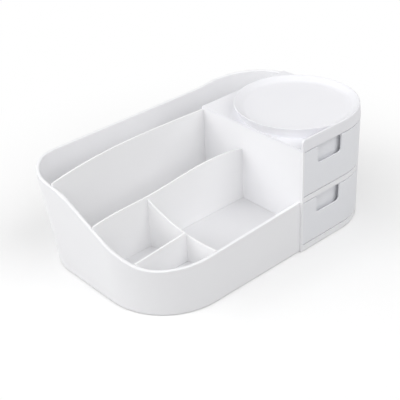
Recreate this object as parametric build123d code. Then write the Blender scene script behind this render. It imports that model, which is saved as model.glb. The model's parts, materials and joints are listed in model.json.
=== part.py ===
"""Desk organizer: a flared tray with drop-in dividers, a two-drawer tower and a round dish on top."""
import math
import os

from build123d import *

# Overall size in millimetres: rim to rim, drawer fronts to back rim, feet to dish ring
length = 262.0
width = 159.0
height = 105.0

# Outer wall of the tray
wall = 3.2
left_lean = 5.4
back_lean = 3.0
front_left_radius = 56.0
back_left_radius = 35.0
back_right_radius = 55.0
tray_setback = 2.0
rim_soft = 0.7

# Rim line: low at the front, an S curve up the left end, a slow rise along the back
rim_front = 41.8
rim_front_slope = 0.041
rim_back_drop = 6.5
shoulder_drop = 7.4
shoulder_from_front = 103.0
shoulder_radius = 30.0
curve_start = 25.0
curve_radius = 45.0
back_rise = 71.0
back_rise_radius = 150.0

# Raised floor on a ledge inside the wall
floor_top = 25.3
floor_thickness = 2.0
ledge = 1.6
rib_height = 7.0
rib_thickness = 1.6

# Drop-in dividers
divider = 2.0
groove = 1.0
slip = 0.15
divider_soft = 0.5
middle_divider_from_front = 69.0
cross_divider_from_tower = 103.0
cross_divider_slant = 12.5
small_divider_from_front = 32.0
pen_partition_from_tower = 22.0
middle_low = 66.0
middle_rise = 70.2
middle_shelf = 71.0
middle_crest = 76.0
middle_at_tower = 72.6
long_left_drop = 10.5
long_rise_drop = 2.5
long_crest_drop = 0.6
long_tower_drop = 2.0
cross_at_middle = 69.8
cross_sag = 6.4
cross_at_front = 45.4
small_at_left = 47.0
small_at_cross = 51.8
pen_partition_drop = 5.0
pen_partition_at_back = 60.0
pen_partition_sag = 6.0

# Drawer tower
cabinet_width = 102.5
cabinet_rear = 14.4
cabinet_wall = 1.7
stile = 1.3
plinth = 5.9
beam = 4.4
beam_depth = 3.4
plate = 1.8
drawer_gap = 1.0
drawer_side_gap = 0.4
drawer_front_short = 20.0
running_gap = 0.35

# Drawers
front_thickness = 4.0
front_skin = 1.2
front_flange = 1.6
front_soft = 0.25
front_corner = 2.5
notch_from_left = 16.0
notch_width = 28.0
notch_depth = 15.4
notch_round = 3.0
notch_shoulder = 2.0
box_wall = 1.7
box_floor = 1.6
box_side_drop = 5.0
box_side_gap = 0.8
box_back_gap = 3.0
peg_boss = 3.6
peg_radius = 2.0
peg_length = 1.2
peg_slip = 0.1

# Top cover with the round dish
cover = 1.6
dish_margin = 0.6
ring = 2.0
ring_rise = 9.1
ring_flare = 2.1
ring_round = 0.8
dish_base = 1.5
dish_taper = 5.0
dish_floor_round = 5.0
lip_corner = 3.0
tongue = 1.5
tongue_drop = 2.0
tongue_slip = 0.2

# Rubber feet
foot_radius = 6.0
foot_thickness = 1.6
foot_proud = 0.8
post_radius = 7.5
foot_inset = 18.0

# Lines that the pieces share
right = length / 2
front = -width / 2
tray_front = front + tray_setback
left_tan = math.tan(math.radians(left_lean))
back_tan = math.tan(math.radians(back_lean))
cover_top = height - ring_rise
cover_bottom = cover_top - cover
rim_back = cover_top - rim_back_drop
rim_shoulder = rim_back - shoulder_drop
corner_rise = shoulder_drop / (width - shoulder_from_front)
widest_left = rim_back - corner_rise * back_left_radius - rim_soft
widest_back = rim_back + rim_back_drop * (1 - back_right_radius / back_rise) - rim_soft
base_left = -length / 2 + widest_left * left_tan
base_back = width / 2 - widest_back * back_tan
cabinet_depth = cabinet_width + cabinet_rear
tower_left = right - cabinet_width
tower_back = front + cabinet_depth
dish_radius = (cabinet_width - dish_margin) / 2
dish_x = right - dish_radius
dish_y = front + dish_radius
dish_floor = cover_top + dish_base
opening_left = tower_left + stile
front_left = opening_left + drawer_side_gap
front_right = right - drawer_front_short
opening_right = front_right + drawer_gap
drawer_front_height = (cover_bottom - plinth - beam) / 2 - 2 * drawer_gap
floor_bottom = floor_top - floor_thickness
shelf_top = plinth + 2 * drawer_gap + drawer_front_height + beam
middle_y = front + middle_divider_from_front
long_y = tower_back - divider / 2
cross_x = tower_left - cross_divider_from_tower
cross_run = tray_front - middle_y
small_y = front + small_divider_from_front
small_end = cross_x + cross_divider_slant * (small_y - middle_y) / cross_run
partition_x = tower_left - pen_partition_from_tower
beyond = 20.0


def wall_space(inset, low, high):
    """Solid inside the outer wall between two heights: its left end and its back lean out."""
    far = length + width
    under = -beyond
    over = height + beyond
    left_under = base_left - under * left_tan + inset
    left_over = base_left - over * left_tan + inset
    back_under = base_back + 2 * under * back_tan - inset
    back_over = base_back + 2 * over * back_tan - inset
    right_edge = right - inset
    near = tray_front + inset
    jog = (opening_left + dish_x) / 2
    long_side = Polyline(
        (left_under, under), (right_edge, under), (right_edge, over), (left_over, over), close=True
    )
    short_side = Polyline(
        (front + inset, 2 * under),
        (back_under, 2 * under),
        (back_over, 2 * over),
        (front + inset, 2 * over),
        close=True,
    )
    space = extrude(Plane.XZ * make_face(long_side), far, both=True)
    space &= extrude(Plane.YZ * make_face(short_side), far, both=True)
    space -= box_between((-far, -far, 2 * under), (jog, near, 2 * over))
    rounds = [
        (left_under, near, front_left_radius),
        (right_edge, front + inset, dish_radius),
        (left_under, base_back - inset, back_left_radius),
        (right_edge, base_back - inset, back_right_radius),
    ]
    for x, y, radius in rounds:
        uprights = space.edges().filter_by(lambda e: abs(e.tangent_at(0.5).Z) > 0.9)
        corner = uprights.sort_by_distance((x, y, 0))[0]
        space = fillet([corner], radius - inset)
    return space & box_between((-far, -far, low), (far, far, high))


def box_between(low, high):
    """Box from its lowest to its highest corner."""
    size = [b - a for a, b in zip(low, high)]
    return Pos(*low) * Box(*size, align=(Align.MIN, Align.MIN, Align.MIN))


def tower_face(inset, left_edge=tower_left, back_edge=tower_back):
    """Outline of the drawer tower, moved in at the front and round the right corner."""
    corners = [
        (left_edge, front + inset),
        (right - inset, front + inset),
        (right - inset, back_edge),
        (left_edge, back_edge),
    ]
    return make_face(FilletPolyline(*corners, radius=[0, dish_radius - inset, 0, 0], close=True))


def front_band(depth):
    """Strip behind the front of the tower and round its corner."""
    return tower_face(0) - tower_face(depth, tower_left - beyond, tower_back + beyond)


def prism(face, low, high):
    """Upright prism of a flat face between two heights."""
    return Pos(0, 0, low) * extrude(face, high - low)


def rim_trim():
    """Space above the rim line, to be cut from the wall."""
    far_left = -length / 2 - beyond
    far_back = width / 2 + beyond
    s_high = rim_back + corner_rise * beyond
    s_line = FilletPolyline(
        (far_back, s_high),
        (front + shoulder_from_front, rim_shoulder),
        (front + curve_start, rim_front),
        (front - beyond, rim_front),
        radius=[shoulder_radius, curve_radius],
    )
    s_top = Polyline(
        (front - beyond, rim_front), (front - beyond, height + beyond),
        (far_back, height + beyond), (far_back, s_high),
    )
    run = tower_left + length / 2
    slope = Vector(1, 0, rim_front_slope)
    start = Plane((-length / 2, 0, 0), x_dir=(0, 1, 0), z_dir=(1, 0, 0))
    s_face = start * make_face([s_line, s_top])
    s_cut = extrude(s_face, run, dir=slope) + extrude(s_face, beyond, dir=-slope)
    back_line = FilletPolyline(
        (far_left, rim_back), (right - back_rise, rim_back),
        (right, cover_top), (right + beyond, cover_top),
        radius=back_rise_radius,
    )
    back_top = Polyline(
        (right + beyond, cover_top), (right + beyond, height + beyond),
        (far_left, height + beyond), (far_left, rim_back),
    )
    back_face = make_face([back_line, back_top])
    back_cut = extrude(Plane.XZ * back_face, width / 2 + beyond, both=True)
    return [s_cut, back_cut]


def along_x(y):
    """Upright plane that runs along the organizer."""
    return Plane((0, y, 0), x_dir=(1, 0, 0), z_dir=(0, -1, 0))


def along_y(x):
    """Upright plane that runs across the organizer."""
    return Plane((x, 0, 0), x_dir=(0, 1, 0), z_dir=(1, 0, 0))


def along_cross():
    """Upright plane of the slanted cross divider, from the wave divider to the front wall."""
    run = Vector(cross_divider_slant, cross_run, 0)
    return Plane((cross_x, middle_y, 0), x_dir=run, z_dir=run.cross(Vector(0, 0, 1)))


def slab(plane, start, end, low, high, thickness=divider + 2 * slip):
    """Slab on an upright plane, between two places along it and two heights."""
    middle = Pos((start + end) / 2, (low + high) / 2)
    return extrude(plane * middle * Rectangle(end - start, high - low), thickness / 2, both=True)


def divider_runs():
    """Plane of each divider that reaches the wall, and the stretch that it covers."""
    return [
        (along_x(long_y), -length, tower_left),
        (along_x(middle_y), -length, tower_left),
        (along_x(small_y), -length, small_end),
        (along_cross(), 0, width),
    ]


def divider_end_slots():
    """Slots in the wall that take the ends of the dividers."""
    reach = wall_space(wall - groove - slip, floor_bottom, height)
    return [slab(*run, floor_bottom, height + beyond) & reach for run in divider_runs()]


def rim_edges(body):
    """Long edges of the rim, inside and outside."""
    rim_faces = [f for f in body.faces() if f.center().Z > floor_top and f.normal_at().Z > 0.2]
    shared = [e for f in rim_faces for e in f.edges()]
    long_edges = [e for e in shared if e.length > 2 * wall]
    return ShapeList(long_edges)


def outer_wall():
    """Wrap-around wall, from the left drawer stile round the back to the right stile."""
    shell = wall_space(0, foot_proud, height) - wall_space(wall, -beyond, height + beyond)
    doorway = box_between(
        (tower_left, front - beyond, -beyond),
        (opening_right, front + dish_radius, height + beyond),
    )
    ledge_ring = wall_space(wall / 2, floor_bottom - ledge, floor_bottom)
    ledge_ring -= wall_space(wall + ledge, floor_bottom - 2 * ledge, floor_top)
    ledge_ring -= box_between(
        (tower_left, front - beyond, 0), (right + beyond, tower_back, height)
    )
    body = shell - doorway
    for cut in rim_trim():
        body -= cut
    body = chamfer(rim_edges(body), rim_soft)
    body -= box_between(
        (tower_left, front - beyond, cover_bottom),
        (right + beyond, tower_back + tongue_slip, height + beyond),
    )
    body += ledge_ring
    for slot in divider_end_slots():
        body -= slot
    return body


def foot_places():
    """Feet under the tray floor, then feet under the drawer tower."""
    tray = [
        (base_left + 2 * foot_inset, tray_front + 1.5 * foot_inset),
        (base_left + 1.5 * foot_inset, base_back - 1.5 * foot_inset),
        (tower_left + foot_inset, (tower_back + base_back) / 2),
    ]
    tower = [
        (opening_left + foot_inset, front + foot_inset),
        (opening_right - foot_inset, front + foot_inset + post_radius),
        (opening_right - foot_inset, tower_back - foot_inset),
    ]
    return tray, tower


def posts(places, top):
    """Round posts that stand on the rubber feet."""
    rise = top - foot_thickness
    stand = (Align.CENTER, Align.CENTER, Align.MIN)
    return [Pos(x, y, foot_thickness) * Cylinder(post_radius, rise, align=stand) for x, y in places]


def tray_floor():
    """Raised floor panel with divider grooves above, ribs and posts below."""
    panel = wall_space(wall + slip, floor_bottom, floor_top)
    reach = wall_space(wall + ledge + slip, floor_bottom - rib_height, floor_bottom)
    tower_room = box_between(
        (tower_left - slip, front - beyond, 0), (right + beyond, tower_back + slip, height)
    )
    ledge_room = box_between(
        (tower_left - ledge - slip, front - beyond, 0),
        (right + beyond, tower_back + ledge + slip, floor_bottom),
    )
    for x in (cross_x, (cross_x + tower_left) / 2):
        rib = Pos(x, 0, floor_bottom - rib_height / 2) * Box(rib_thickness, width, rib_height)
        panel += rib & reach
    for y in (middle_y, long_y):
        rib = Pos(0, y, floor_bottom - rib_height / 2) * Box(length, rib_thickness, rib_height)
        panel += rib & reach
    for post in posts(foot_places()[0], floor_bottom):
        panel += post
    panel = panel - tower_room - ledge_room
    for run in [*divider_runs(), (along_y(partition_x), long_y, width)]:
        panel -= slab(*run, floor_top - groove, floor_top + groove)
    return panel


def divider_plate(top_line, plane, reach=wall - groove):
    """Upright plate under a top line, softened along the top and trimmed to the wall."""
    foot = floor_top - groove
    first = top_line @ 0
    last = top_line @ 1
    sides = Polyline(last, (last.X, foot), (first.X, foot), first)
    plate_body = extrude(plane * make_face([top_line, sides]), divider / 2, both=True)
    span = top_line.length
    top_edges = [
        e for e in plate_body.edges() if abs(e.length - span) < 0.01 and e.center().Z > floor_top
    ]
    plate_body = chamfer(ShapeList(top_edges), divider_soft)
    return plate_body & wall_space(reach, floor_bottom, height)


def long_divider():
    """Tall divider in line with the back of the tower."""
    start = -length / 2 - wall
    run = tower_left - start
    top = Spline(
        (start, cover_top - long_left_drop), (start + run * 0.3, cover_top - long_rise_drop),
        (start + run * 0.65, cover_top - long_crest_drop), (tower_left, cover_top - long_tower_drop),
    )
    return divider_plate(top, along_x(long_y))


def middle_divider():
    """Divider with a wave along its top, from the left end to the tower."""
    start = -length / 2 - wall
    top = Spline(
        (start, middle_low), ((start + cross_x) / 2, middle_rise), (cross_x, middle_shelf),
        ((cross_x + tower_left) / 2, middle_crest), (tower_left, middle_at_tower),
    )
    return divider_plate(top, along_x(middle_y))


def cross_divider():
    """Slanted divider from the wave divider to the front wall, falling to the rim."""
    run = math.hypot(cross_divider_slant, cross_run)
    dip = (run / 2, (cross_at_middle + cross_at_front) / 2 - cross_sag)
    top = Spline((0, cross_at_middle), dip, (run, cross_at_front))
    plate_body = divider_plate(top, along_cross())
    return plate_body - slab(along_x(middle_y), -length, tower_left, 0, height, divider)


def small_divider():
    """Low divider from the cross divider to the round front corner."""
    top = Line((-length / 2, small_at_left), (small_end, small_at_cross))
    return divider_plate(top, along_x(small_y)) - slab(along_cross(), 0, width, 0, height, divider)


def pen_partition():
    """Partition across the pen slot, hidden behind the long divider."""
    first = (tower_back, cover_top - pen_partition_drop)
    last = (width / 2, pen_partition_at_back)
    dip = ((first[0] + last[0]) / 2, (first[1] + last[1]) / 2 - pen_partition_sag)
    return divider_plate(Spline(first, dip, last), along_y(partition_x), wall + slip)


def drawer_cabinet():
    """Open-fronted housing of the two drawers: walls, floor, shelf and front beams."""
    in_line = box_between((tower_left, front, 0), (opening_right, tower_back, height))
    left_wall = box_between(
        (tower_left, front, foot_proud), (tower_left + cabinet_wall, tower_back, cover_bottom)
    )
    back_room = wall_space(wall + slip, 0, height)
    back_wall = box_between(
        (tower_left, tower_back - cabinet_wall, foot_proud), (right, tower_back, cover_bottom)
    )
    wrap = front_right - dish_x
    wrap_depth = dish_y - math.sqrt((dish_radius - front_thickness) ** 2 - wrap ** 2)
    side_start = wrap_depth + drawer_gap
    right_wall = box_between(
        (opening_right - cabinet_wall, side_start, foot_proud),
        (opening_right, tower_back, cover_bottom),
    )
    body = left_wall + (back_wall & back_room) + right_wall
    for low, high in ((foot_proud, plinth), (shelf_top - beam, shelf_top)):
        body += prism(front_band(beam_depth), low, high) & in_line
        body += prism(tower_face(0), high - plate, high) & in_line
    for post in posts(foot_places()[1], plinth - plate):
        body += post
    support = box_between(
        (tower_left - ledge, tray_front + wall + ledge, floor_bottom - ledge),
        (tower_left, tower_back, floor_bottom),
    )
    back_support = box_between(
        (tower_left - ledge, tower_back, floor_bottom - ledge),
        (right - wall - ledge, tower_back + ledge, floor_bottom),
    )
    return body + support + (back_support & wall_space(wall + ledge + slip, 0, height))


def notch_cut(top):
    """Finger notch with round corners, open at the top edge of a drawer front."""
    a = front_left + notch_from_left
    b = a + notch_width
    low = top - notch_depth
    shoulder = notch_shoulder
    edge = FilletPolyline(
        (a - 2 * shoulder, top), (a, top), (a, low), (b, low), (b, top), (b + 2 * shoulder, top),
        radius=[shoulder, notch_round, notch_round, shoulder],
    )
    lid = Polyline(
        (b + 2 * shoulder, top), (b + 2 * shoulder, top + shoulder),
        (a - 2 * shoulder, top + shoulder), (a - 2 * shoulder, top),
    )
    return extrude(along_x(front) * make_face([edge, lid]), 2 * front_thickness, both=True)


def front_edges(panel):
    """Edges on the outer face of a drawer front."""
    chosen = []
    for edge in panel.edges():
        spot = edge.center()
        reach = math.hypot(spot.X - dish_x, spot.Y - dish_y)
        on_flat = abs(spot.Y - front) < 0.01
        on_round = spot.X > dish_x and reach > dish_radius - front_thickness / 2
        if on_flat or on_round:
            chosen.append(edge)
    return ShapeList(chosen)


def drawer_front(low):
    """Hollow-backed front that follows the round corner, with a finger notch and two pegs."""
    top = low + drawer_front_height
    panel = prism(front_band(front_thickness), low, top) & front_window(low, 0) - notch_cut(top)
    panel = chamfer(front_edges(panel), front_soft)
    hollow = front_band(front_thickness + 1) - front_band(front_skin)
    panel -= prism(hollow, low, top) & front_window(low, front_flange)
    for x, z in peg_places(low):
        panel += along_peg(x, z, front_skin / 2) * Cylinder(
            peg_boss, front_thickness - front_skin / 2, align=(Align.CENTER, Align.CENTER, Align.MIN)
        )
        panel += along_peg(x, z, front_thickness) * Cylinder(
            peg_radius, peg_length, align=(Align.CENTER, Align.CENTER, Align.MIN)
        )
    return panel


def front_window(low, inset):
    """Block with the outline of a drawer front, its right corners round, moved in by an inset."""
    a = front_left + inset
    b = front_right - inset
    bottom = low + inset
    top = low + drawer_front_height - inset
    radius = front_corner - inset / 2
    outline = FilletPolyline(
        (a, bottom), (b, bottom), (b, top), (a, top), radius=[0, radius, radius, 0], close=True
    )
    return extrude(along_x(front) * make_face(outline), dish_radius, both=True)


def along_peg(x, z, depth):
    """Place of a peg, at a depth behind the drawer front, looking into the drawer."""
    return Pos(x, front + depth, z) * Rot(-90, 0, 0)


def peg_places(low):
    """Centres of the pegs that hold a drawer front on its box."""
    mid = low + drawer_front_height / 3
    inset = notch_from_left / 2
    return [(front_left + inset, mid), (dish_x, mid)]


def drawer_box(low, deck_top):
    """Open-topped drawer box behind its front panel."""
    bottom = deck_top + running_gap
    top = low + drawer_front_height
    box_left = tower_left + cabinet_wall + box_side_gap
    box_right = opening_right - cabinet_wall - box_side_gap
    box_back = tower_back - cabinet_wall - box_back_gap
    side = box_between((box_left, front, bottom), (box_right, box_back, top))
    inside = box_between(
        (box_left + box_wall, front, bottom + box_floor),
        (box_right - box_wall, box_back - box_wall, top + 1),
    )
    body = prism(tower_face(front_thickness, tower_left - beyond), bottom, top) & side
    body -= prism(tower_face(front_thickness + box_wall, tower_left - beyond), 0, height) & inside
    body -= box_between(
        (box_left - 1, front + front_thickness + dish_radius / 2, top - box_side_drop),
        (box_right + 1, box_back + 1, top + 1),
    )
    for x, z in peg_places(low):
        body -= along_peg(x, z, front_thickness) * Cylinder(
            peg_radius + peg_slip, box_wall, align=(Align.CENTER, Align.CENTER, Align.MIN)
        )
    return body


def ring_outline(radius, level, inset=0.0):
    """Round outline of the dish at one height, with a straight lip along the front."""
    x = right - radius
    y = front + radius
    near = front + inset
    far = front + ring - inset
    end = tower_left + inset
    reach = math.sqrt((radius - inset) ** 2 - (y - far) ** 2)
    meet = math.degrees(math.atan2(far - y, -reach)) % 360
    sweep = CenterArc((x, y), radius - inset, -90, meet + 90)
    lip = Polyline((x - reach, far), (end, far), (end, near), (x, near))
    return Pos(0, 0, level) * make_face([sweep, lip])


def dish_hollow():
    """Inside of the dish, with a round run-out to its floor and a softened mouth."""
    wide = dish_radius + ring_flare
    mouth = wide - ring
    edge = FilletPolyline(
        (0, dish_floor), (mouth - dish_taper, dish_floor),
        (mouth, height - ring_round), (mouth + ring_round, height),
        radius=[dish_floor_round, 0],
    )
    lid = Polyline((mouth + ring_round, height), (mouth + ring_round, height + 1),
                   (0, height + 1), (0, dish_floor))
    hollow = revolve(Plane.XZ * make_face([edge, lid]), Axis.Z)
    return Pos(right - wide, front + wide, 0) * hollow


def lip_corner_cut():
    """Waste outside the round top corner at the left end of the lip."""
    low = height - lip_corner
    inner = tower_left + lip_corner
    outside = Polyline(
        (tower_left, low), (tower_left - 1, low), (tower_left - 1, height + 1),
        (inner, height + 1), (inner, height),
    )
    arc = CenterArc((inner, low), lip_corner, 90, 90)
    return extrude(along_x(front) * make_face([outside, arc]), 2 * ring, both=True)


def dish_and_lip():
    """Dish ring and front lip: upright at the front and right, leaning out to the left and back."""
    steps = [(ring_rise, 0), (ring_round, 0), (ring_round * 0.3, ring_round * 0.3), (0, ring_round)]
    outlines = []
    for drop, inset in steps:
        radius = dish_radius + ring_flare * (1 - drop / ring_rise)
        outlines.append(ring_outline(radius, height - drop, inset))
    return loft(outlines, ruled=True) - dish_hollow() - lip_corner_cut()


def top_cover():
    """Cover plate of the tower with the dish, a front lip and tongues that locate it."""
    deck = prism(tower_face(0), cover_bottom, cover_top)
    rear = tower_back - cabinet_wall - tongue_slip
    drop = cover_bottom - tongue_drop
    tongues = box_between(
        (tower_left + cabinet_wall + tongue_slip, rear - tongue, drop),
        (opening_right - cabinet_wall - tongue_slip, rear, cover_bottom),
    )
    tongues += box_between(
        (opening_right + tongue_slip, dish_y, drop),
        (opening_right + tongue_slip + tongue, rear, cover_bottom),
    )
    return deck + dish_and_lip() + tongues


def rubber_feet():
    """Non-slip pads under the posts."""
    tray, tower = foot_places()
    stand = (Align.CENTER, Align.CENTER, Align.MIN)
    return [Pos(x, y, 0) * Cylinder(foot_radius, foot_thickness, align=stand) for x, y in tray + tower]


def build():
    """All pieces by node name."""
    lower = plinth + drawer_gap
    upper = shelf_top + drawer_gap
    return {
        "outer_wall": outer_wall(),
        "tray_floor": tray_floor(),
        "long_divider": long_divider(),
        "middle_divider": middle_divider(),
        "cross_divider": cross_divider(),
        "small_divider": small_divider(),
        "pen_partition": pen_partition(),
        "drawer_cabinet": drawer_cabinet(),
        "top_cover": top_cover(),
        "upper_drawer_box": drawer_box(upper, shelf_top),
        "upper_drawer_front": drawer_front(upper),
        "lower_drawer_box": drawer_box(lower, plinth),
        "lower_drawer_front": drawer_front(lower),
        "rubber_feet": Compound(children=rubber_feet()),
    }


os.makedirs("parts", exist_ok=True)
for name, solid in build().items():
    export_step(solid, os.path.join("parts", name + ".step"))
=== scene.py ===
import json
import math

import bmesh
import bpy
from mathutils import Matrix, Vector

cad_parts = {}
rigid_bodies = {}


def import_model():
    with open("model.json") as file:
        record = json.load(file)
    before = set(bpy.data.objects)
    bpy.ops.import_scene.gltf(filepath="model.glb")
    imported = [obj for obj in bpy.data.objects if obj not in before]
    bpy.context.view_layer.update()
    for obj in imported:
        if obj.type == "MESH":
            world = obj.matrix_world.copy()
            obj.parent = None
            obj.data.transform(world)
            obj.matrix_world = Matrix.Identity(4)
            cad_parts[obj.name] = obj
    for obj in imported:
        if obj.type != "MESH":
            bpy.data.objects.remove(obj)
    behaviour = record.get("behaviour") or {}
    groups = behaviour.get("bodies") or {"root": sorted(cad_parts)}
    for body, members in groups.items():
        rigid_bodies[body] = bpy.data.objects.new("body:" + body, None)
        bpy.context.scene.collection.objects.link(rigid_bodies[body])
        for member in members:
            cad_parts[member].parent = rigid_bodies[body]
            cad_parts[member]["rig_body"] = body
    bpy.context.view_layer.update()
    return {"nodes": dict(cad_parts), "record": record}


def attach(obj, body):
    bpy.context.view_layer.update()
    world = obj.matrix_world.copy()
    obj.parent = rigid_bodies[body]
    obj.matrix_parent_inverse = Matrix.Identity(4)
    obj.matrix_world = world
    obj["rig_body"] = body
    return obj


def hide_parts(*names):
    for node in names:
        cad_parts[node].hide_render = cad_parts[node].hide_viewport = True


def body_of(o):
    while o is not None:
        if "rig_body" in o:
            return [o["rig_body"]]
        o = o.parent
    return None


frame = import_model()
scene = bpy.context.scene
scene.view_settings.view_transform = "Standard"
print("frame loaded:", len(frame["nodes"]), "nodes")


def hexColour(code):
    parts = [int(code[i:i + 2], 16) / 255 for i in (1, 3, 5)]
    line = [p / 12.92 if p <= 0.04045 else ((p + 0.055) / 1.055) ** 2.4 for p in parts]
    return (*line, 1.0)


def directionOf(azimuth, elevation):
    az = math.radians(azimuth)
    el = math.radians(elevation)
    return Vector((math.sin(az) * math.cos(el), -math.cos(az) * math.cos(el), math.sin(el)))


def addNode(tree, kind, settings=None, values=None, links=None):
    node = tree.nodes.new(kind)
    for key, value in (settings or {}).items():
        setattr(node, key, value)
    for key, value in (values or {}).items():
        node.inputs[key].default_value = value
    for key, source in (links or {}).items():
        tree.links.new(source, node.inputs[key])
    return node


# camera at the photograph's angle, fitted to its edges
cameraPlan = {
    "place": (-0.442178, -0.496661, 0.439034),
    "azimuth": -40.971,
    "elevation": 31.564,
    "roll": -2.667,
    "lens": 82.484,
    "sensor": 36.0,
    "farClip": 50.0,
}


def makeCamera(plan):
    az = math.radians(plan["azimuth"])
    ro = math.radians(plan["roll"])
    back = directionOf(plan["azimuth"], plan["elevation"])
    side = Vector((math.cos(az), math.sin(az), 0.0))
    top = back.cross(side)
    right = side * math.cos(ro) + top * math.sin(ro)
    up = top * math.cos(ro) - side * math.sin(ro)
    data = bpy.data.cameras.new("studioCamera")
    data.lens = plan["lens"]
    data.sensor_width = plan["sensor"]
    data.clip_end = plan["farClip"]
    cam = bpy.data.objects.new("studioCamera", data)
    scene.collection.objects.link(cam)
    turn = Matrix((right, up, back)).transposed().to_4x4()
    cam.matrix_world = Matrix.Translation(plan["place"]) @ turn
    scene.camera = cam


makeCamera(cameraPlan)
print("camera set")


# white polypropylene, injection moulded: a soft satin skin with a very fine eroded grain
plasticPlan = {
    "wall_plastic": {
        "name": "mouldedWhitePolypropylene",
        "tone": "#F5F5F7", "shade": "#F2F2F4", "rough": 0.42,
    },
    "divider_plastic": {
        "name": "mouldedPolypropylenePlates",
        "tone": "#F6F6F7", "shade": "#F3F3F4", "rough": 0.45,
    },
    "cover_plastic": {
        "name": "mouldedPolypropyleneCover",
        "tone": "#F0F0F3", "shade": "#EDEDF1", "rough": 0.40,
    },
    "drawer_plastic": {
        "name": "mouldedCoolWhitePolypropylene",
        "tone": "#EFF0F3", "shade": "#EBECF0", "rough": 0.40,
    },
}

# what all the moulded skins share
mouldPlan = {
    "ior": 1.49,
    "grainSize": 0.6,  # mm between grains, coarser than the real 0.1 mm so that it shows
    "grainDetail": 1.0,
    "flowSize": 38.0,  # mm across the faint cloudiness that moulding leaves
    "flowDetail": 2.0,
    "smoother": 0.04,  # how far the grain takes the roughness down and up
    "rougher": 0.05,
    "bump": 0.06,
    "bumpDeep": 0.0001,
}
mmPerMetre = 1000


def makePlastic(plan):
    mat = bpy.data.materials.new(plan["name"])
    mat.use_nodes = True
    tree = mat.node_tree
    shader = tree.nodes["Principled BSDF"]
    shader.inputs["IOR"].default_value = mouldPlan["ior"]
    spot = addNode(tree, "ShaderNodeTexCoord")
    cloud = addNode(tree, "ShaderNodeTexNoise", None,
                    {"Scale": mmPerMetre / mouldPlan["flowSize"], "Detail": mouldPlan["flowDetail"]},
                    {"Vector": spot.outputs["Object"]})
    tint = addNode(tree, "ShaderNodeMix", {"data_type": "RGBA"}, None,
                   {"Factor": cloud.outputs["Fac"]})
    tint.inputs["A"].default_value = hexColour(plan["tone"])
    tint.inputs["B"].default_value = hexColour(plan["shade"])
    tree.links.new(tint.outputs["Result"], shader.inputs["Base Color"])
    grain = addNode(tree, "ShaderNodeTexNoise", None,
                    {"Scale": mmPerMetre / mouldPlan["grainSize"], "Detail": mouldPlan["grainDetail"]},
                    {"Vector": spot.outputs["Object"]})
    gloss = addNode(tree, "ShaderNodeMapRange", None,
                    {"To Min": plan["rough"] - mouldPlan["smoother"],
                     "To Max": plan["rough"] + mouldPlan["rougher"]},
                    {"Value": grain.outputs["Fac"]})
    tree.links.new(gloss.outputs["Result"], shader.inputs["Roughness"])
    bump = addNode(tree, "ShaderNodeBump", None,
                   {"Strength": mouldPlan["bump"], "Distance": mouldPlan["bumpDeep"]},
                   {"Height": grain.outputs["Fac"]})
    tree.links.new(bump.outputs["Normal"], shader.inputs["Normal"])
    return mat


# grey thermoplastic rubber, moulded: matt, with hardly a highlight
rubberPlan = {"name": "mouldedGreyRubber", "tone": "#5C5C5E", "shade": "#525254", "rough": 0.8}

# the tray floor is polypropylene with a matt eroded skin; its tone, a little greyer than the walls, is
# painted shade for the shade deep in the bays
trayShadePlan = {"name": "mouldedMattPolypropylene", "tone": "#EBEBED", "shade": "#E7E7E9", "rough": 0.6}

finishes = {slot: makePlastic(plan) for slot, plan in plasticPlan.items()}
finishes["foot_rubber"] = makePlastic(rubberPlan)
# the tray floor's finish: matt, with painted shade in its greyer tone
finishes["painted_shade_tray_plastic"] = makePlastic(trayShadePlan)
slotOf = {s["node"]: s["material_slot"] for s in frame["record"]["subparts"]}

# moulded skins: merged copies of the solids, so that corners and chamfers shade as soft rounds
skinPlan = {
    "merge": 1e-6,  # m
    "softAngle": 50.0,  # degrees; a chamfer is 45 and reads as a round
    # the tray floor takes the finish whose greyer tone is painted shade
    "ownFinish": {"tray_floor": "painted_shade_tray_plastic"},
    "skip": ("rubber_feet",),
}

# the dish is shallower than its solid, so its floor is lifted; all in m
dishPlan = {
    "axis": (0.07795, -0.02645),
    "mouth": 0.05105,  # radius
    "wallTop": 0.1042,
    "solidFloor": 0.0974,
    "floor": 0.1008,
    "slack": 1e-5,
}


def mergedMesh(node, name, merge):
    mesh = frame["nodes"][node].data.copy()
    mesh.name = name
    form = bmesh.new()
    form.from_mesh(mesh)
    bmesh.ops.remove_doubles(form, verts=form.verts, dist=merge)
    form.to_mesh(mesh)
    form.free()
    for stale in ("custom_normal", "sharp_edge", "sharp_face"):  # the loose triangles' own normals
        if stale in mesh.attributes:
            mesh.attributes.remove(mesh.attributes[stale])
    return mesh


def liftDish(mesh, plan):
    top = plan["wallTop"]
    low = plan["solidFloor"] - plan["slack"]
    squeeze = (top - plan["floor"]) / (top - plan["solidFloor"])
    for vert in mesh.vertices:
        reach = math.hypot(vert.co.x - plan["axis"][0], vert.co.y - plan["axis"][1])
        if reach < plan["mouth"] and low < vert.co.z < top:
            vert.co.z = top - (top - vert.co.z) * squeeze


def placeMesh(name, mesh):
    obj = bpy.data.objects.new(name, mesh)
    scene.collection.objects.link(obj)
    return obj


def bakeModifiers(obj):
    graph = bpy.context.evaluated_depsgraph_get()
    baked = bpy.data.meshes.new_from_object(obj.evaluated_get(graph))
    obj.modifiers.clear()
    obj.data = baked


def softNormals(obj, angle):
    mesh = obj.data
    mesh.polygons.foreach_set("use_smooth", [True] * len(mesh.polygons))
    mesh.set_sharp_from_angle(angle=math.radians(angle))
    weigh = obj.modifiers.new("weigh", "WEIGHTED_NORMAL")
    weigh.keep_sharp = True
    bakeModifiers(obj)


def makeSkin(node, plan):
    mesh = mergedMesh(node, node + "Skin", plan["merge"])
    if node == "top_cover":
        liftDish(mesh, dishPlan)
    obj = placeMesh(node + "Skin", mesh)
    softNormals(obj, plan["softAngle"])
    obj.data.materials.clear()
    obj.data.materials.append(finishes[plan["ownFinish"].get(node, slotOf[node])])
    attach(obj, body_of(frame["nodes"][node])[0])
    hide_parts(node)


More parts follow.
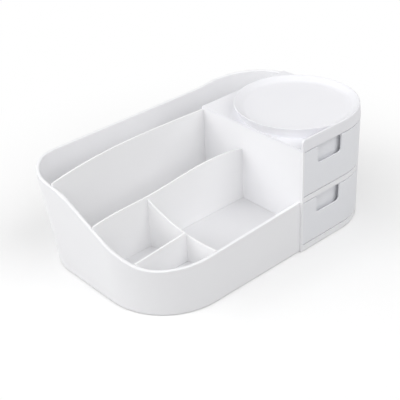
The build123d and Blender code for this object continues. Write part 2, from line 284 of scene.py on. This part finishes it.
for name in frame["nodes"]:
    if name not in skinPlan["skip"]:
        makeSkin(name, skinPlan)
print("skins on", len(slotOf) - len(skinPlan["skip"]), "nodes")


# rubber pads: a lathed pad with tread grooves, set by Geometry Nodes at each solid foot
padPlan = {
    "name": "rubberPads",
    "sides": 40,
    "round": 0.0004,  # m
    "roundMiddle": 0.3,  # share of the round, where its middle point lies
    "grooves": (0.35, 0.6),  # share of the radius
    "grooveWide": 0.0005,
    "grooveDeep": 0.0003,
    "grooveFloor": 0.6,  # share of the groove's width
    "softAngle": 35.0,
}


def footSpots(mesh):
    form = bmesh.new()
    form.from_mesh(mesh)
    left = set(form.verts)
    spots = []
    while left:
        todo = [left.pop()]
        island = []
        while todo:
            vert = todo.pop()
            island.append(vert.co.copy())
            near = [e.other_vert(vert) for e in vert.link_edges]
            todo += [v for v in near if v in left]
            left.difference_update(near)
        low = Vector([min(c[i] for c in island) for i in range(3)])
        high = Vector([max(c[i] for c in island) for i in range(3)])
        spots.append((low, high))
    form.free()
    return spots


def padProfile(radius, tall, plan):
    edge = plan["round"]
    middle = edge * plan["roundMiddle"]
    half = plan["grooveWide"] / 2
    flat = half * plan["grooveFloor"]
    deep = plan["grooveDeep"]
    line = [(0.0, 0.0)]
    for share in plan["grooves"]:
        mid = share * radius
        line += [(mid - half, 0.0), (mid - flat, deep), (mid + flat, deep), (mid + half, 0.0)]
    line += [(radius - edge, 0.0), (radius - middle, middle), (radius, edge)]
    line += [(radius, tall), (0.0, tall)]
    return line


def lathe(name, line, sides):
    form = bmesh.new()
    rings = []
    for r, z in line:
        count = 1 if r == 0.0 else sides
        turns = [2 * math.pi * k / sides for k in range(count)]
        rings.append([form.verts.new((r * math.cos(t), r * math.sin(t), z)) for t in turns])
    for lower, upper in zip(rings, rings[1:]):
        for k in range(sides):
            corners = [lower[k % len(lower)], lower[(k + 1) % len(lower)],
                       upper[(k + 1) % len(upper)], upper[k % len(upper)]]
            form.faces.new(list(dict.fromkeys(corners)))
    bmesh.ops.recalc_face_normals(form, faces=form.faces)
    mesh = bpy.data.meshes.new(name)
    form.to_mesh(mesh)
    form.free()
    return mesh


def padTree(material):
    tree = bpy.data.node_groups.new("setPads", "GeometryNodeTree")
    tree.interface.new_socket("Spots", in_out="INPUT", socket_type="NodeSocketGeometry")
    source = tree.interface.new_socket("Pad", in_out="INPUT", socket_type="NodeSocketObject")
    tree.interface.new_socket("Pads", in_out="OUTPUT", socket_type="NodeSocketGeometry")
    start = addNode(tree, "NodeGroupInput")
    pad = addNode(tree, "GeometryNodeObjectInfo", None, None, {"Object": start.outputs["Pad"]})
    spread = addNode(tree, "GeometryNodeInstanceOnPoints", None, None,
                     {"Points": start.outputs["Spots"], "Instance": pad.outputs["Geometry"]})
    solid = addNode(tree, "GeometryNodeRealizeInstances", None, None,
                    {"Geometry": spread.outputs["Instances"]})
    paint = addNode(tree, "GeometryNodeSetMaterial", None, {"Material": material},
                    {"Geometry": solid.outputs["Geometry"]})
    end = addNode(tree, "NodeGroupOutput")
    tree.links.new(paint.outputs["Geometry"], end.inputs["Pads"])
    return tree, source.identifier


def makePads(plan):
    spots = footSpots(mergedMesh("rubber_feet", "footSpots", skinPlan["merge"]))
    low, high = spots[0]
    radius = (high.x - low.x) / 2
    profile = padProfile(radius, high.z - low.z, plan)
    pad = placeMesh("onePad", lathe("onePad", profile, plan["sides"]))
    points = bpy.data.meshes.new("padSpots")
    points.from_pydata([((a.x + b.x) / 2, (a.y + b.y) / 2, a.z) for a, b in spots], [], [])
    obj = placeMesh(plan["name"], points)
    tree, padSocket = padTree(finishes["foot_rubber"])
    setter = obj.modifiers.new("setPads", "NODES")
    setter.node_group = tree
    setter[padSocket] = pad
    bakeModifiers(obj)
    bpy.data.objects.remove(pad)
    softNormals(obj, plan["softAngle"])
    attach(obj, body_of(frame["nodes"]["rubber_feet"])[0])
    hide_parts("rubber_feet")
    print("pads set:", len(spots))


makePads(padPlan)


# pale floor, and four softboxes: behind to the left, behind, at the front right and low at the left
lightPlan = {
    "floor": 8.0,  # m across
    "floorTone": "#FCFCFC",
    "bounceTone": "#B3B3B3",  # what the floor throws back on the object
    "white": (1, 1, 1, 1),
    "lift": 0.06,  # share of plain white under the object
    "fade": (0.10, 0.34),  # m from the middle, where the floor turns plain white
    "sky": 0.40,
    "aim": (0.0, 0.0, 0.05),
    "reach": 2.0,  # m from the aim to each lamp
    "size": 1.6,
    "lamps": {
        "backSoftbox": {"azimuth": 248, "elevation": 28, "power": 19.4},
        "highSoftbox": {"azimuth": 200, "elevation": 35, "power": 5.2},
        "rightSoftbox": {"azimuth": 20, "elevation": 45, "power": 18.3},
        "leftSoftbox": {"azimuth": 300, "elevation": 27, "power": 7.8},
    },
}


# the white background is there for the camera, and in what gloss and glass show
def seenRay(tree):
    path = addNode(tree, "ShaderNodeLightPath")
    gloss = addNode(tree, "ShaderNodeMath", {"operation": "MAXIMUM"}, None,
                    {0: path.outputs["Is Camera Ray"], 1: path.outputs["Is Glossy Ray"]})
    both = addNode(tree, "ShaderNodeMath", {"operation": "MAXIMUM"}, None,
                   {0: gloss.outputs[0], 1: path.outputs["Is Transmission Ray"]})
    return both.outputs[0]


def makeFloor(plan):
    half = plan["floor"] / 2
    mesh = bpy.data.meshes.new("floor")
    corners = [(-half, -half, 0), (half, -half, 0), (half, half, 0), (-half, half, 0)]
    mesh.from_pydata(corners, [], [(0, 1, 2, 3)])
    floor = placeMesh("floor", mesh)
    mat = bpy.data.materials.new("paleFloor")
    mat.use_nodes = True
    tree = mat.node_tree
    tree.nodes.clear()
    out = addNode(tree, "ShaderNodeOutputMaterial")
    seen = seenRay(tree)
    tone = addNode(tree, "ShaderNodeMix", {"data_type": "RGBA"}, None, {"Factor": seen})
    tone.inputs["A"].default_value = hexColour(plan["bounceTone"])
    tone.inputs["B"].default_value = hexColour(plan["floorTone"])
    matt = addNode(tree, "ShaderNodeBsdfDiffuse", None, None, {"Color": tone.outputs["Result"]})
    glow = addNode(tree, "ShaderNodeEmission", None, {"Color": plan["white"], "Strength": 1.0})
    spot = addNode(tree, "ShaderNodeTexCoord")
    away = addNode(tree, "ShaderNodeVectorMath", {"operation": "LENGTH"}, None,
                   {0: spot.outputs["Object"]})
    near, far = plan["fade"]
    fade = addNode(tree, "ShaderNodeMapRange", {"interpolation_type": "SMOOTHSTEP"},
                   {"From Min": near, "From Max": far, "To Min": plan["lift"], "To Max": 1.0},
                   {"Value": away.outputs["Value"]})
    lift = addNode(tree, "ShaderNodeMath", {"operation": "MULTIPLY"}, None,
                   {0: seen, 1: fade.outputs["Result"]})
    blend = addNode(tree, "ShaderNodeMixShader", None, None,
                    {"Fac": lift.outputs[0], 1: matt.outputs[0], 2: glow.outputs[0]})
    tree.links.new(blend.outputs[0], out.inputs["Surface"])
    mesh.materials.append(mat)


def makeLamp(name, lamp, plan):
    toward = directionOf(lamp["azimuth"], lamp["elevation"])
    data = bpy.data.lights.new(name, "AREA")
    data.shape = "SQUARE"
    data.size = plan["size"]
    data.energy = lamp["power"]
    obj = bpy.data.objects.new(name, data)
    scene.collection.objects.link(obj)
    obj.location = Vector(plan["aim"]) + toward * plan["reach"]
    obj.rotation_euler = (-toward).to_track_quat("-Z", "Y").to_euler()


def makeWorld(plan):
    world = bpy.data.worlds.new("studio")
    scene.world = world
    world.use_nodes = True
    tree = world.node_tree
    tree.nodes.clear()
    out = addNode(tree, "ShaderNodeOutputWorld")
    fill = addNode(tree, "ShaderNodeBackground", None,
                   {"Color": plan["white"], "Strength": plan["sky"]})
    white = addNode(tree, "ShaderNodeBackground", None, {"Color": plan["white"], "Strength": 1.0})
    blend = addNode(tree, "ShaderNodeMixShader", None, None,
                    {"Fac": seenRay(tree), 1: fill.outputs[0], 2: white.outputs[0]})
    tree.links.new(blend.outputs[0], out.inputs["Surface"])


makeFloor(lightPlan)
for name, lamp in lightPlan["lamps"].items():
    makeLamp(name, lamp, lightPlan)
makeWorld(lightPlan)
print("light and floor set")
